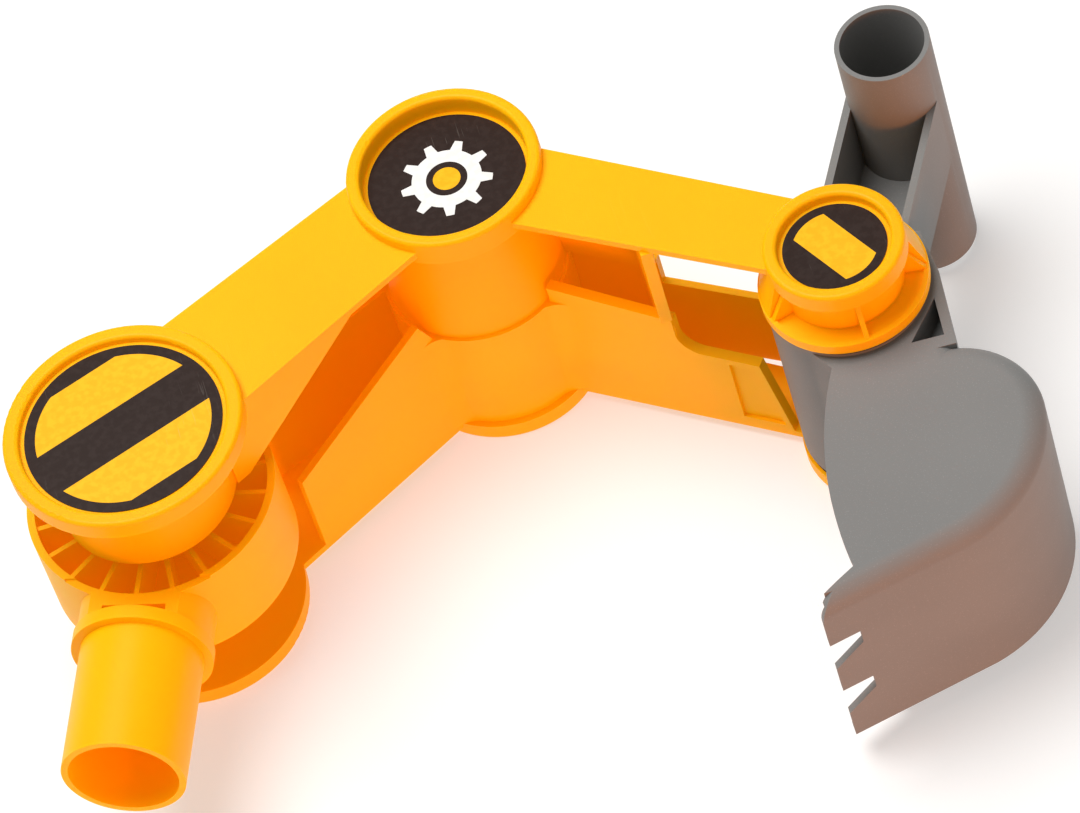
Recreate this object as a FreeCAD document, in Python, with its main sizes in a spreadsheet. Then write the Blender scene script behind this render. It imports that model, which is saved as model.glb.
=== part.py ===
import FreeCAD, Part
import os
import Sketcher
from FreeCAD import Placement, Rotation, Vector

# Digging arm of a toy excavator, millimetres.
# The arm lies on its side: every pivot axis is vertical, the near side faces +Z, and the origin is
# on the base pivot axis, in the plane of the far disc that the arm rests on.

SIZES = {
    # boom layout, seen along the pivots
    "reach_lower": 128.8,       # base pivot to elbow
    "reach_upper": 128.8,       # elbow to bucket pivot
    "rise_angle": 25.2,         # lower arm above the X axis, degrees
    "fall_angle": 36.5,         # upper arm below the X axis, degrees
    # heights across the arm, from the far face to the near face
    "arm_width": 102,           # far disc face to near ring rim
    "near_face": 98,            # top of the near plate
    "far_face": 4,              # bottom of the far plate
    "plate": 2.5,               # plate thickness
    "wall": 2.4,                # moulded wall thickness
    "parting": 51,              # where the two boom halves meet
    # near plate and far plate, half widths at their ends
    "near_root": 21.5,
    "near_elbow_low": 17.3,
    "near_elbow_up": 14.8,
    "near_tip": 13.3,
    "near_shift_low": 1.5,      # plate centre line off the line of the pivots
    "near_shift_up": 1.2,
    "far_root": 17.5,
    "far_elbow_low": 10.5,
    "far_elbow_up": 8,
    "far_tip": 9.5,
    "back_root": 20,
    "back_elbow": 15.5,
    "back_tip": 12.5,
    # round bosses: outside radius, recess radius, recess depth
    "base_ring": 37.3,
    "base_recess": 32.2,
    "base_recess_deep": 2.6,
    "elbow_ring": 30.5,
    "elbow_recess": 26.2,
    "elbow_recess_deep": 7,
    "tip_ring": 21.8,
    "tip_recess": 17.4,
    "tip_recess_deep": 3.4,
    "ring_wall": 6.6,           # height of the ring bosses' outer walls
    "rim_round": 1.4,
    "bite": 1,                  # how far a wall runs into its neighbour so that they join
    "hub_bite": 6,              # how far the long walls run inside the elbow hub
    # skirts and hubs under the plates
    "skirt": 27.4,              # outside radius of the skirt at the base pivot
    "skirt_foot": 67,           # height of its lower edge
    "skirt_grip": 0.72,         # the fences start inside the skirt, at this share of its radius
    "skirt_shoulder": 0.9,      # the near side fence keeps its full depth up to here
    "fence_end": 75,            # where the near side fence runs out along the lower arm
    "hub_top": 24,              # elbow hub radius under the near plate
    "hub_foot": 28.3,           # elbow hub radius at the parting plane
    "hub_rim": 29.6,            # far elbow hub radius at the parting plane
    "far_base_disc": 35.3,
    "far_elbow_disc": 30.8,
    "far_tip_disc": 25.5,
    "far_rim": 5.3,             # width of the rim round each far face
    "far_recess_deep": 2.5,
    "far_pad": 9,               # flat pad in the middle of each far face
    "flange": 26.2,             # flange over the bucket hub
    "flange_face": 80,
    "flange_lip": 3.6,
    "flange_lip_wide": 1.6,
    "flange_neck_in": 3,        # the neck over the flange stands in from the tip ring
    "flange_rib_in": 0.8,       # the flange's ribs stop short of its edge
    "flange_rib_first": 0.02,   # places of the ribs, as shares of the open part
    "flange_rib_step": 0.48,
    "flange_open_start": -167,  # the flange's dish is open from here, degrees
    "flange_open_finish": -12,
    "bulkhead_out": 0.8,        # the bulkhead's front edge stands out from the tray wall
    "bulkhead_proud": 0.2,
    "bulkhead_at": 70,          # bulkhead distance from the elbow
    "tray_low": 39,             # top of the upper arm's tray walls
    "tray_corner": 8,           # rounded corner between the bulkhead and the tray wall
    "ledge_high": 58,           # top of the front wall between the elbow and the bulkhead
    "ledge_low": 54,
    "tray_end_slant": 6,        # the front wall's end leans back by this much at its top
    "panel_start": 86,          # sunk panel in the front wall, distance from the elbow
    "panel_deep": 1.2,
    "panel_margin": 2.5,
    "cove_step": 2,             # the elbow disc stands out from the hub wall above it
    "cove": 11,                 # radius where the tray walls flow into the elbow hub
    "tray_start": 40,           # top of the lower arm's tray wall beside the drum
    "tray_run": 4,              # the same wall slopes up over this length beside the elbow
    "tray_finish": 61,          # the same wall's top beside the elbow
    "tray_wall": 3.6,
    "hub_clear": 1.2,
    "join_gap": 0.3,            # gap between the two boom halves round the elbow
    # base socket
    "drum": 39,
    "drum_foot": 33,
    "drum_rim": 65.5,
    "drum_floor": 47,
    "bearing": 15,
    "rib_count": 20,
    "rib_thick": 1.5,
    "rib_drop": 1.6,            # ribs below the drum's rim
    "socket_angle": -110.9,     # direction of the socket tube
    "socket_axis": 49.3,        # height of the tube's axis
    "socket_end": 92.7,         # base pivot to the tube's mouth
    "socket_outer": 19,
    "socket_bore": 16.9,
    "collar_at": 45,
    "drum_clear": 1.5,
    "collar": 21.8,
    "collar_long": 4.5,
    "socket_end_wall": 2,       # wall that closes the inner end of the socket
    "neck_start": 32,           # the neck grows out of the drum's wall from here
    "neck_top": 64.6,
    "slot_half": 10,            # slot across the top of the neck
    "slot_start": 40.6,
    "slot_finish": 43.8,
    "slot_deep": 12,
    # pivots
    "pin": 5,
    "running_gap": 0.05,
    "side_gap": 0.3,
    "washer_thick": 1.7,
    "washer_outer": 24.4,
    "washer_inner": 17,
    "base_washer_outer": 13.5,
    "base_washer_inner": 5.4,
    "boss": 9.5,
    "pin_foot": 3.5,
    "pin_head_room": 6,         # near end of the pins below the near plate
    # bucket, measured from its pivot
    "hub": 25,
    "hub_foot_face": 9,
    "hub_near_face": 78,
    "bucket_foot": 9,
    "bucket_near": 77,
    "bucket_wall": 2.4,
    "cheek_thick": 3.6,         # near cheek, thicker behind its rounded edge
    "bucket_drop": 108.5,       # pivot to the lip, down
    "bucket_back": 43.5,        # pivot to the back
    "lip_out": 41,              # pivot to the teeth, forward
    "cheek_out": 27,            # pivot to the cheek's front edge, forward
    "corner_round": 7,
    # bucket outline: shares of the hub radius, then of the drop, then plain distances
    "throat_out": 0.62,
    "throat_down": 1.24,
    "back_upper": 0.37,
    "back_widest": 0.54,
    "heel_at": 0.755,
    "sole_at": 0.925,
    "back_upper_in": 5.5,       # in from the widest point of the back
    "heel_in": 9,
    "sole_in": 37,
    "inner_trim": 0.6,          # extra thickness round the heel, inside
    "inner_heel_up": 0.015,     # share of the drop
    # cheek's front edge: shares of the hub radius, of the drop, and plain distances
    "cheek_top_out": 0.5,
    "cheek_top_down": 1.05,
    "cheek_middle": 0.55,
    "cheek_hollow": 2.5,
    "cheek_low": 0.9,
    "lip_round": 9,             # rounded near corner of the lip
    "tooth_deep": 10,
    "tooth_wide": 11,
    "tooth_gap": 13,
    "tooth_root": 5.5,
    "tooth_cut": 10,            # the cuts between the teeth reach this far through the lip
    # lever and handle
    "handle_x": 35.5,
    "handle_y": 67,
    "handle_outer": 14.8,
    "handle_bore": 13.2,
    "handle_foot": 4,
    "handle_near": 101,
    "lever_floor": 48,
    "lever_near": 78,
    "lever_half": 14.4,
    "lever_block": 36,          # length of the full-height part of the lever
    "hub_web_out": 3,           # block between the hub and the bucket, beyond the hub
    "corner_pocket": 12,        # depth of the pocket in the corner behind the hub
    # fixings
    "screw": 1.5,
    "screw_head": 3,
    "screw_long": 20,
    "slot_long": 4.4,           # driver slot in the screw heads
    "slot_wide": 0.8,
    "screw_post": 3.6,
    "screw_head_thick": 1.8,
    "screw_grip": 8,
    "screw_circle": 14,
    "sticker_thick": 0.3,
    "sticker_margin": 1.4,
}

ARC_MIDDLE = "0.293 * "         # a quarter round's middle, as a share of its radius from the corner

NODES = []


def fill_sheet(doc):
    sheet = doc.addObject("Spreadsheet::Sheet", "Sizes")
    for row, (alias, value) in enumerate(SIZES.items(), start=1):
        cell = "A%d" % row
        sheet.set(cell, str(value))
        sheet.setAlias(cell, alias)
    doc.recompute()
    return sheet


def s(name):
    return "Sizes." + name


ELBOW = (
    "Sizes.reach_lower * cos(Sizes.rise_angle)",
    "Sizes.reach_lower * sin(Sizes.rise_angle)",
)
TIP = (
    ELBOW[0] + " + Sizes.reach_upper * cos(Sizes.fall_angle)",
    ELBOW[1] + " - Sizes.reach_upper * sin(Sizes.fall_angle)",
)
ROOT = ("0", "0")
LOWER_TURN = "Sizes.rise_angle"
UPPER_TURN = "0 - Sizes.fall_angle"
NEAR_UNDER = "Sizes.near_face - Sizes.plate"
FAR_TOP = "Sizes.far_face + Sizes.plate"
PIN_NEAR = "Sizes.near_face - Sizes.plate - Sizes.pin_head_room"
BULKHEAD_BACK = (
    "Sizes.bulkhead_at - tan(Sizes.fall_angle)"
    " * (Sizes.far_elbow_up + Sizes.near_shift_up + Sizes.near_elbow_up - 2 * Sizes.wall)"
)
TRAY_END = "Sizes.reach_upper - Sizes.hub - Sizes.hub_clear"
WEB_START = "Sizes.drum + Sizes.drum_clear"
SOME_TURN = Placement(Vector(0, 0, 0), Rotation(Vector(0, 0, 1), 10))  # sets the axis of later turns


def slope(rise, run):
    """The angle of a slope, in plain degrees."""
    return "atan((%s) / (%s)) / 1 deg" % (rise, run)


def value(item, text):
    return float(item.evalExpression(text))


class Piece:
    """A PartDesign body and the few feature calls that this arm needs."""

    def __init__(self, doc, label):
        self.doc = doc
        self.body = doc.addObject("PartDesign::Body", label)
        self.body.Label = label
        self.count = 0
        NODES.append(self.body)

    def name(self, kind):
        self.count += 1
        return "%s_%s_%d" % (self.body.Label, kind, self.count)

    def datum(self, role):
        for feature in self.body.Origin.OriginFeatures:
            if feature.Role == role:
                return feature
        raise ValueError(role)

    def sketch(self, at=ROOT, height="0", turn="0", role="XY_Plane"):
        drawing = self.body.newObject("Sketcher::SketchObject", self.name("sketch"))
        drawing.AttachmentSupport = [(self.datum(role), "")]
        drawing.MapMode = "FlatFace"
        drawing.AttachmentOffset = SOME_TURN
        if role == "XY_Plane":
            base = (at[0], at[1], height)
        else:
            base = (at[0], height, "0 - (" + at[1] + ")")
        for axis, text in zip("xyz", base):
            drawing.setExpression("AttachmentOffset.Base." + axis, text)
        drawing.setExpression("AttachmentOffset.Rotation.Angle", turn)
        return drawing

    def pin_point(self, drawing, geometry, end, point):
        for kind, text in zip(("DistanceX", "DistanceY"), point):
            size = value(drawing, text)
            index = drawing.addConstraint(Sketcher.Constraint(kind, -1, 1, geometry, end, size))
            drawing.setExpression("Constraints[%d]" % index, text)

    def circle(self, drawing, radius, centre=ROOT):
        middle = Vector(value(drawing, centre[0]), value(drawing, centre[1]), 0)
        size = value(drawing, radius)
        geometry = drawing.addGeometry(Part.Circle(middle, Vector(0, 0, 1), size))
        index = drawing.addConstraint(Sketcher.Constraint("Radius", geometry, size))
        drawing.setExpression("Constraints[%d]" % index, radius)
        self.pin_point(drawing, geometry, 3, centre)

    def outline(self, drawing, steps):
        """Closed outline. A step is an end point, or a pair: a point on an arc and its end point."""
        start = steps[0]
        for step in list(steps[1:]) + [start]:
            is_arc = not isinstance(step[0], str)
            end = step[1] if is_arc else step
            first = Vector(value(drawing, start[0]), value(drawing, start[1]), 0)
            last = Vector(value(drawing, end[0]), value(drawing, end[1]), 0)
            if is_arc:
                through = step[0]
                middle = Vector(value(drawing, through[0]), value(drawing, through[1]), 0)
                clockwise = (middle - first).cross(last - middle).z < 0
                ends = (last, first) if clockwise else (first, last)
                geometry = drawing.addGeometry(Part.Arc(ends[0], middle, ends[1]))
                self.pin_point(drawing, geometry, 2 if clockwise else 1, start)
                self.pin_point(drawing, geometry, 1 if clockwise else 2, end)
                mark = drawing.addGeometry(Part.Point(middle), True)
                self.pin_point(drawing, mark, 1, through)
                drawing.addConstraint(Sketcher.Constraint("PointOnObject", mark, 1, geometry))
            else:
                geometry = drawing.addGeometry(Part.LineSegment(first, last))
                self.pin_point(drawing, geometry, 1, start)
                self.pin_point(drawing, geometry, 2, end)
            start = end

    def pad(self, drawing, length):
        feature = self.body.newObject("PartDesign::Pad", self.name("pad"))
        feature.Profile = drawing
        feature.setExpression("Length", length)
        return feature

    def pocket(self, drawing, length):
        """Cuts from the sketch towards -Z."""
        feature = self.body.newObject("PartDesign::Pocket", self.name("pocket"))
        feature.Profile = drawing
        feature.setExpression("Length", length)
        return feature

    def spin(self, drawing, angle="360"):
        feature = self.body.newObject("PartDesign::Revolution", self.name("spin"))
        feature.Profile = drawing
        feature.ReferenceAxis = (drawing, ["V_Axis"])
        feature.setExpression("Angle", angle)
        return feature

    def disc(self, at, foot, radius, height):
        drawing = self.sketch(at, foot)
        self.circle(drawing, radius)
        return self.pad(drawing, height)

    def tube(self, at, foot, outer, inner, height):
        drawing = self.sketch(at, foot)
        self.circle(drawing, outer)
        self.circle(drawing, inner)
        return self.pad(drawing, height)

    def bore(self, at, top, radius, depth):
        drawing = self.sketch(at, top)
        self.circle(drawing, radius)
        return self.pocket(drawing, depth)

    def slab(self, at, foot, turn, steps, height):
        drawing = self.sketch(at, foot, turn)
        self.outline(drawing, steps)
        return self.pad(drawing, height)

    def upright(self, at, turn):
        """A sketch that stands on end: its X runs along the turn and its Y is the height."""
        drawing = self.body.newObject("Sketcher::SketchObject", self.name("sketch"))
        drawing.AttachmentSupport = [(self.datum("XY_Plane"), "")]
        drawing.MapMode = "FlatFace"
        lean = "rotation(vector(0; 0; 1); %s) * rotation(vector(1; 0; 0); 90)" % turn
        drawing.setExpression("AttachmentOffset", "placement(vector(%s; %s; 0); %s)" % (at[0], at[1], lean))
        return drawing

    def fence(self, at, turn, offset, steps, thick, inward="+"):
        """A wall along an arm, drawn as distance along and height, its outer face at the offset."""
        drawing = self.upright(across(at, turn, offset), turn)
        self.outline(drawing, steps)
        feature = self.pad(drawing, thick)
        feature.Reversed = inward == "+"
        return feature


def ring_boss(piece, at, radius, recess, deep):
    """A round boss with a raised rounded rim and a shallow recess for its sticker."""
    drawing = piece.sketch(at, "0", role="XZ_Plane")
    rim = "Sizes.rim_round"
    top = "Sizes.arm_width"
    floor = "Sizes.arm_width - " + s(deep)
    foot = "min(Sizes.arm_width - Sizes.ring_wall; " + floor + " - Sizes.plate)"
    outer = s(radius)
    inner = s(recess)
    shoulder = ARC_MIDDLE + rim
    steps = [
        ("0", foot),
        (outer, foot),
        (outer, top + " - " + rim),
        ((outer + " - " + shoulder, top + " - " + shoulder), (outer + " - " + rim, top)),
        (inner + " + " + rim, top),
        ((inner + " + " + shoulder, top + " - " + shoulder), (inner, top + " - " + rim)),
        (inner, floor),
        ("0", floor),
    ]
    piece.outline(drawing, steps)
    return piece.spin(drawing)


def far_boss(piece, at, radius):
    """The far end of a round boss: a flat pad, a sunk ring round it and a rounded rim."""
    outer = s(radius)
    inner = outer + " - Sizes.far_rim"
    rim = "Sizes.rim_round"
    shoulder = ARC_MIDDLE + rim
    steps = [
        ("0", "0"),
        ("Sizes.far_pad", "0"),
        ("Sizes.far_pad", "Sizes.far_recess_deep"),
        (inner, "Sizes.far_recess_deep"),
        (inner, rim),
        ((inner + " + " + shoulder, shoulder), (inner + " + " + rim, "0")),
        (outer + " - " + rim, "0"),
        ((outer + " - " + shoulder, shoulder), (outer, rim)),
        (outer, FAR_TOP),
        ("0", FAR_TOP),
    ]
    drawing = piece.sketch(at, "0", role="XZ_Plane")
    piece.outline(drawing, steps)
    return piece.spin(drawing)


def cone_wall(piece, at, foot, foot_radius, top, top_radius, start="0", angle="360"):
    drawing = piece.upright(at, start)
    steps = [
        (foot_radius + " - Sizes.wall", foot),
        (foot_radius, foot),
        (top_radius, top),
        (top_radius + " - Sizes.wall", top),
    ]
    piece.outline(drawing, steps)
    return piece.spin(drawing, angle=angle)


def near_half(doc):
    """Near plate with its three ring bosses, the skirt, the elbow hub, the flange and the bulkhead."""
    piece = Piece(doc, "boom_near_half")
    low_front = "Sizes.near_shift_low - "
    low_back = "Sizes.near_shift_low + "
    piece.slab(ROOT, NEAR_UNDER, LOWER_TURN, [
        ("0", low_front + "Sizes.near_root"),
        ("Sizes.reach_lower", low_front + "Sizes.near_elbow_low"),
        ("Sizes.reach_lower", low_back + "Sizes.near_elbow_low"),
        ("0", low_back + "Sizes.near_root"),
    ], "Sizes.plate")
    up_front = "Sizes.near_shift_up - "
    up_back = "Sizes.near_shift_up + "
    piece.slab(ELBOW, NEAR_UNDER, UPPER_TURN, [
        ("0", up_front + "Sizes.near_elbow_up"),
        ("Sizes.reach_upper", up_front + "Sizes.near_tip"),
        ("Sizes.reach_upper", up_back + "Sizes.near_tip"),
        ("0", up_back + "Sizes.near_elbow_up"),
    ], "Sizes.plate")
    ring_boss(piece, ROOT, "base_ring", "base_recess", "base_recess_deep")
    ring_boss(piece, ELBOW, "elbow_ring", "elbow_recess", "elbow_recess_deep")
    ring_boss(piece, TIP, "tip_ring", "tip_recess", "tip_recess_deep")

    under = NEAR_UNDER
    piece.tube(ROOT, "Sizes.skirt_foot", "Sizes.skirt", "Sizes.skirt - Sizes.wall",
               "Sizes.near_face - Sizes.plate - Sizes.skirt_foot + Sizes.bite")
    low_slope = slope("Sizes.near_root - Sizes.near_elbow_low", "Sizes.reach_lower")
    hub_start = "Sizes.reach_lower - Sizes.hub_top + Sizes.bite"
    piece.fence(ROOT, LOWER_TURN + " + " + low_slope, low_front + "Sizes.near_root", [
        ("Sizes.skirt_grip * Sizes.skirt", under),
        ("Sizes.skirt_grip * Sizes.skirt", "Sizes.skirt_foot"),
        ("Sizes.skirt_shoulder * Sizes.skirt", "Sizes.skirt_foot"),
        ("Sizes.fence_end", under),
    ], "Sizes.wall", "+")
    piece.fence(ROOT, LOWER_TURN + " - " + low_slope, low_back + "Sizes.near_root", [
        ("Sizes.skirt_grip * Sizes.skirt", under),
        ("Sizes.skirt_grip * Sizes.skirt", "Sizes.skirt_foot"),
        (WEB_START, "Sizes.skirt_foot"),
        (WEB_START, "Sizes.parting"),
        (hub_start, "Sizes.parting"),
        (hub_start, under),
    ], "Sizes.wall", "-")

    cone_wall(piece, ELBOW, "Sizes.parting", "Sizes.hub_foot", under, "Sizes.hub_top")
    piece.fence(ELBOW, UPPER_TURN, up_back + "Sizes.near_elbow_up - Sizes.wall", [
        ("Sizes.hub_top - Sizes.hub_bite", "Sizes.parting"),
        (BULKHEAD_BACK, "Sizes.parting"),
        (BULKHEAD_BACK, under),
        ("Sizes.hub_top - Sizes.hub_bite", under),
    ], "Sizes.wall", "-")
    ledge = "Sizes.ledge_low + 2 * Sizes.join_gap"
    behind_ledge = "(Sizes.tray_wall + Sizes.join_gap) / cos(Sizes.fall_angle) + Sizes.tray_wall"
    back = ("(Sizes.far_elbow_up + Sizes.near_shift_up + Sizes.near_elbow_up - Sizes.wall - Sizes.bite)"
            " / cos(Sizes.fall_angle)")
    top = "(Sizes.far_elbow_up + 2 * Sizes.near_shift_up - Sizes.near_elbow_up) / cos(Sizes.fall_angle)"
    bulkhead = piece.upright(bulkhead_front(), "90")
    piece.outline(bulkhead, [
        ("0 - Sizes.bulkhead_out", ledge),
        (behind_ledge, ledge),
        (behind_ledge, "Sizes.parting"),
        (back, "Sizes.parting"),
        (back, under),
        (top, under),
    ])
    piece.pad(bulkhead, "Sizes.tray_wall").Reversed = True

    flange_top = "Sizes.flange_face + Sizes.plate"
    piece.disc(TIP, "Sizes.flange_face", "Sizes.flange", "Sizes.plate")
    piece.tube(TIP, flange_top, "Sizes.flange", "Sizes.flange - Sizes.flange_lip_wide", "Sizes.flange_lip - Sizes.plate")
    neck = "Sizes.tip_ring - Sizes.flange_neck_in"
    piece.tube(TIP, flange_top, neck, neck + " - Sizes.wall",
               under + " - (" + flange_top + ")")
    cone_wall(piece, TIP, flange_top, "Sizes.flange", under, "Sizes.tip_ring",
              "Sizes.flange_open_finish", "360 - Sizes.flange_open_finish + Sizes.flange_open_start")
    rib_steps = [
        (neck + " - Sizes.bite / 2", flange_top),
        ("Sizes.flange - Sizes.flange_rib_in", flange_top),
        ("Sizes.flange - Sizes.flange_rib_in", "Sizes.flange_face + Sizes.flange_lip"),
        (neck + " - Sizes.bite / 2", under),
    ]
    for rib in range(3):
        share = "(Sizes.flange_rib_first + %d * Sizes.flange_rib_step)" % rib
        drawing = piece.upright(
            TIP, "Sizes.flange_open_start + (Sizes.flange_open_finish - Sizes.flange_open_start) * " + share)
        piece.outline(drawing, rib_steps)
        feature = piece.pad(drawing, "Sizes.rib_thick")
        feature.Midplane = True

    boss_foot = "Sizes.drum_rim + Sizes.side_gap + Sizes.washer_thick"
    for at, foot in ((ROOT, boss_foot), (TIP, "Sizes.flange_face")):
        piece.disc(at, foot, "Sizes.boss", "Sizes.near_face - (" + foot + ")")
        piece.bore(at, PIN_NEAR, "Sizes.pin", PIN_NEAR + " - (" + foot + ")")
    for at, deep in ((ROOT, "base_recess_deep"), (TIP, "tip_recess_deep")):
        floor = "Sizes.arm_width - " + s(deep)
        piece.bore(at, floor, "Sizes.screw + Sizes.join_gap", floor + " - (" + PIN_NEAR + ")")
        piece.bore(at, floor, "Sizes.screw_head + Sizes.join_gap", "Sizes.screw_head_thick")
    for at in screw_places():
        piece.disc(at, "Sizes.parting", "Sizes.screw_post", under + " - Sizes.parting")
        piece.bore(at, "Sizes.parting + Sizes.screw_long - Sizes.screw_grip", "Sizes.screw",
                   "Sizes.screw_long - Sizes.screw_grip")
    piece.bore(ELBOW, "Sizes.arm_width", "Sizes.elbow_recess", "Sizes.elbow_recess_deep")
    return piece


def bulkhead_front():
    """Where the bulkhead, which runs along Y, starts from the upper arm's front wall."""
    return across(along(ELBOW, UPPER_TURN, "Sizes.bulkhead_at"), UPPER_TURN, "0 - Sizes.far_elbow_up")


def along(at, turn, distance):
    """A point at a distance from another, in the direction of the turn."""
    return (
        "(%s) + (%s) * cos(%s)" % (at[0], distance, turn),
        "(%s) + (%s) * sin(%s)" % (at[1], distance, turn),
    )


def screw_places():
    """Three screws inside the elbow hub, evenly round the elbow."""
    places = []
    for turn in (90, 210, 330):
        places.append((
            ELBOW[0] + " + Sizes.screw_circle * cos(%d)" % turn,
            ELBOW[1] + " + Sizes.screw_circle * sin(%d)" % turn,
        ))
    return places


def across(at, turn, distance):
    """A point at a distance from another, square to the direction of the turn."""
    return along(at, turn + " + 90", distance)


def cove(piece, turn, offset, side):
    """Fills the corner between the elbow hub and a wall, with a hollow round face outwards.

    The wall's outer face is at the offset, on the given side of the line from the elbow."""
    radius = "Sizes.cove"
    hub = "(Sizes.hub_rim - Sizes.cove_step / 2)"
    reach = "sqrt((%s + %s)^2 - (%s + %s)^2)" % (hub, radius, offset, radius)
    aside = "(%s + %s)" % (offset, radius)
    share = "%s / (%s + %s)" % (hub, hub, radius)
    tip = ("%s * %s" % (reach, share), "%s * %s" % (aside, share))
    half_turn = "acos(%s / (%s + %s)) / 2" % (aside, hub, radius)
    middle = (
        "%s - %s * sin(%s)" % (reach, radius, half_turn),
        "%s - %s * cos(%s)" % (aside, radius, half_turn),
    )
    inner = "(%s - Sizes.wall)" % offset
    points = [(reach, offset), (middle, tip), (tip[0], inner), (reach, inner)]
    sign = "1 * " if side == "+" else "0 - "
    steps = []
    for point in points:
        if isinstance(point[0], str):
            steps.append((point[0], sign + "(" + point[1] + ")"))
        else:
            steps.append(tuple((along_it, sign + "(" + aside_it + ")") for along_it, aside_it in point))
    piece.slab(ELBOW, FAR_TOP, turn, steps, "Sizes.parting - (" + FAR_TOP + ")")


def far_half(doc):
    """Far plate, its discs and the tray walls that meet the near half at the parting plane."""
    piece = Piece(doc, "boom_far_half")
    piece.slab(ROOT, "Sizes.far_face", LOWER_TURN, [
        ("0", "0 - Sizes.far_root"),
        ("Sizes.reach_lower", "0 - Sizes.far_elbow_low"),
        ("Sizes.reach_lower", "Sizes.back_elbow"),
        ("0", "Sizes.back_root"),
    ], "Sizes.plate")
    piece.slab(ELBOW, "Sizes.far_face", UPPER_TURN, [
        ("0", "0 - Sizes.far_elbow_up"),
        ("Sizes.reach_upper", "0 - Sizes.far_tip"),
        ("Sizes.reach_upper", "Sizes.back_tip"),
        ("0", "Sizes.back_elbow"),
    ], "Sizes.plate")
    far_boss(piece, ROOT, "far_base_disc")
    far_boss(piece, ELBOW, "far_elbow_disc")
    far_boss(piece, TIP, "far_tip_disc")

    low_front = slope("Sizes.far_root - Sizes.far_elbow_low", "Sizes.reach_lower")
    low_back = slope("Sizes.back_root - Sizes.back_elbow", "Sizes.reach_lower")
    hub_inside = "Sizes.reach_lower - Sizes.hub_rim + Sizes.hub_bite"
    hub_outside = "Sizes.reach_lower - Sizes.hub_foot - Sizes.join_gap"
    piece.fence(ROOT, LOWER_TURN + " + " + low_front, "0 - Sizes.far_root", [
        (WEB_START, FAR_TOP),
        (hub_inside, FAR_TOP),
        (hub_inside, "Sizes.parting"),
        (hub_outside, "Sizes.parting"),
        (hub_outside + " - Sizes.tray_run", "Sizes.tray_finish"),
        (WEB_START, "Sizes.tray_start"),
    ], "Sizes.wall", "+")
    piece.fence(ROOT, LOWER_TURN + " - " + low_back, "Sizes.back_root", [
        (WEB_START, FAR_TOP),
        (hub_inside, FAR_TOP),
        (hub_inside, "Sizes.parting"),
        (WEB_START, "Sizes.parting"),
    ], "Sizes.wall", "-")

    cone_wall(piece, ELBOW, FAR_TOP, "Sizes.far_elbow_disc - Sizes.cove_step", "Sizes.parting",
              "Sizes.hub_rim")
    up_front = slope("Sizes.far_tip - Sizes.far_elbow_up", "Sizes.reach_upper")
    up_back = slope("Sizes.back_elbow - Sizes.back_tip", "Sizes.reach_upper")
    corner = "Sizes.tray_corner"
    shoulder = ARC_MIDDLE + corner
    piece.fence(ELBOW, UPPER_TURN + " - " + up_front, "0 - Sizes.far_elbow_up", [
        ("Sizes.hub_rim - Sizes.hub_bite", FAR_TOP),
        (TRAY_END, FAR_TOP),
        (TRAY_END + " - Sizes.tray_end_slant", "Sizes.tray_low"),
        ("Sizes.bulkhead_at + " + corner, "Sizes.tray_low"),
        (("Sizes.bulkhead_at + " + shoulder, "Sizes.tray_low + " + shoulder),
         ("Sizes.bulkhead_at", "Sizes.tray_low + " + corner)),
        ("Sizes.bulkhead_at", "Sizes.ledge_low"),
        ("Sizes.hub_foot + Sizes.join_gap", "Sizes.ledge_high"),
        ("Sizes.hub_foot + Sizes.join_gap", "Sizes.parting"),
        ("Sizes.hub_rim - Sizes.hub_bite", "Sizes.parting"),
    ], "Sizes.tray_wall", "+")
    piece.fence(ELBOW, UPPER_TURN + " + " + up_back, "Sizes.back_elbow", [
        ("Sizes.hub_rim - Sizes.hub_bite", FAR_TOP),
        (TRAY_END, FAR_TOP),
        (TRAY_END, "Sizes.tray_low"),
        (BULKHEAD_BACK, "Sizes.tray_low"),
        (BULKHEAD_BACK, "Sizes.parting"),
        ("Sizes.hub_rim - Sizes.hub_bite", "Sizes.parting"),
    ], "Sizes.wall", "-")
    back = "(Sizes.far_elbow_up + Sizes.back_tip + Sizes.bite) / cos(Sizes.fall_angle)"
    piece.slab(bulkhead_front(), FAR_TOP, "90", [
        ("0 - Sizes.bulkhead_proud", "0"),
        (back, "0"),
        (back, "Sizes.tray_wall"),
        ("Sizes.tray_wall * tan(Sizes.fall_angle) - Sizes.bulkhead_proud", "Sizes.tray_wall"),
    ], "Sizes.parting - (" + FAR_TOP + ")")
    cove(piece, "180 + " + LOWER_TURN + " + " + low_front, "Sizes.far_elbow_low", "+")
    cove(piece, "180 + " + LOWER_TURN + " - " + low_back, "Sizes.back_elbow", "-")
    cove(piece, UPPER_TURN + " - " + up_front, "Sizes.far_elbow_up", "-")
    cove(piece, UPPER_TURN + " + " + up_back, "Sizes.back_elbow", "+")

    panel_turn = UPPER_TURN + " - " + up_front
    panel = piece.upright(across(ELBOW, panel_turn, "0 - Sizes.far_elbow_up"), panel_turn)
    piece.outline(panel, [
        ("Sizes.panel_start", FAR_TOP + " + Sizes.panel_margin"),
        (TRAY_END + " - Sizes.panel_margin", FAR_TOP + " + Sizes.panel_margin"),
        (TRAY_END + " - Sizes.tray_end_slant - Sizes.panel_margin",
         "Sizes.tray_low - Sizes.panel_margin"),
        ("Sizes.panel_start", "Sizes.tray_low - Sizes.panel_margin"),
    ])
    piece.pocket(panel, "Sizes.panel_deep")

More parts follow.
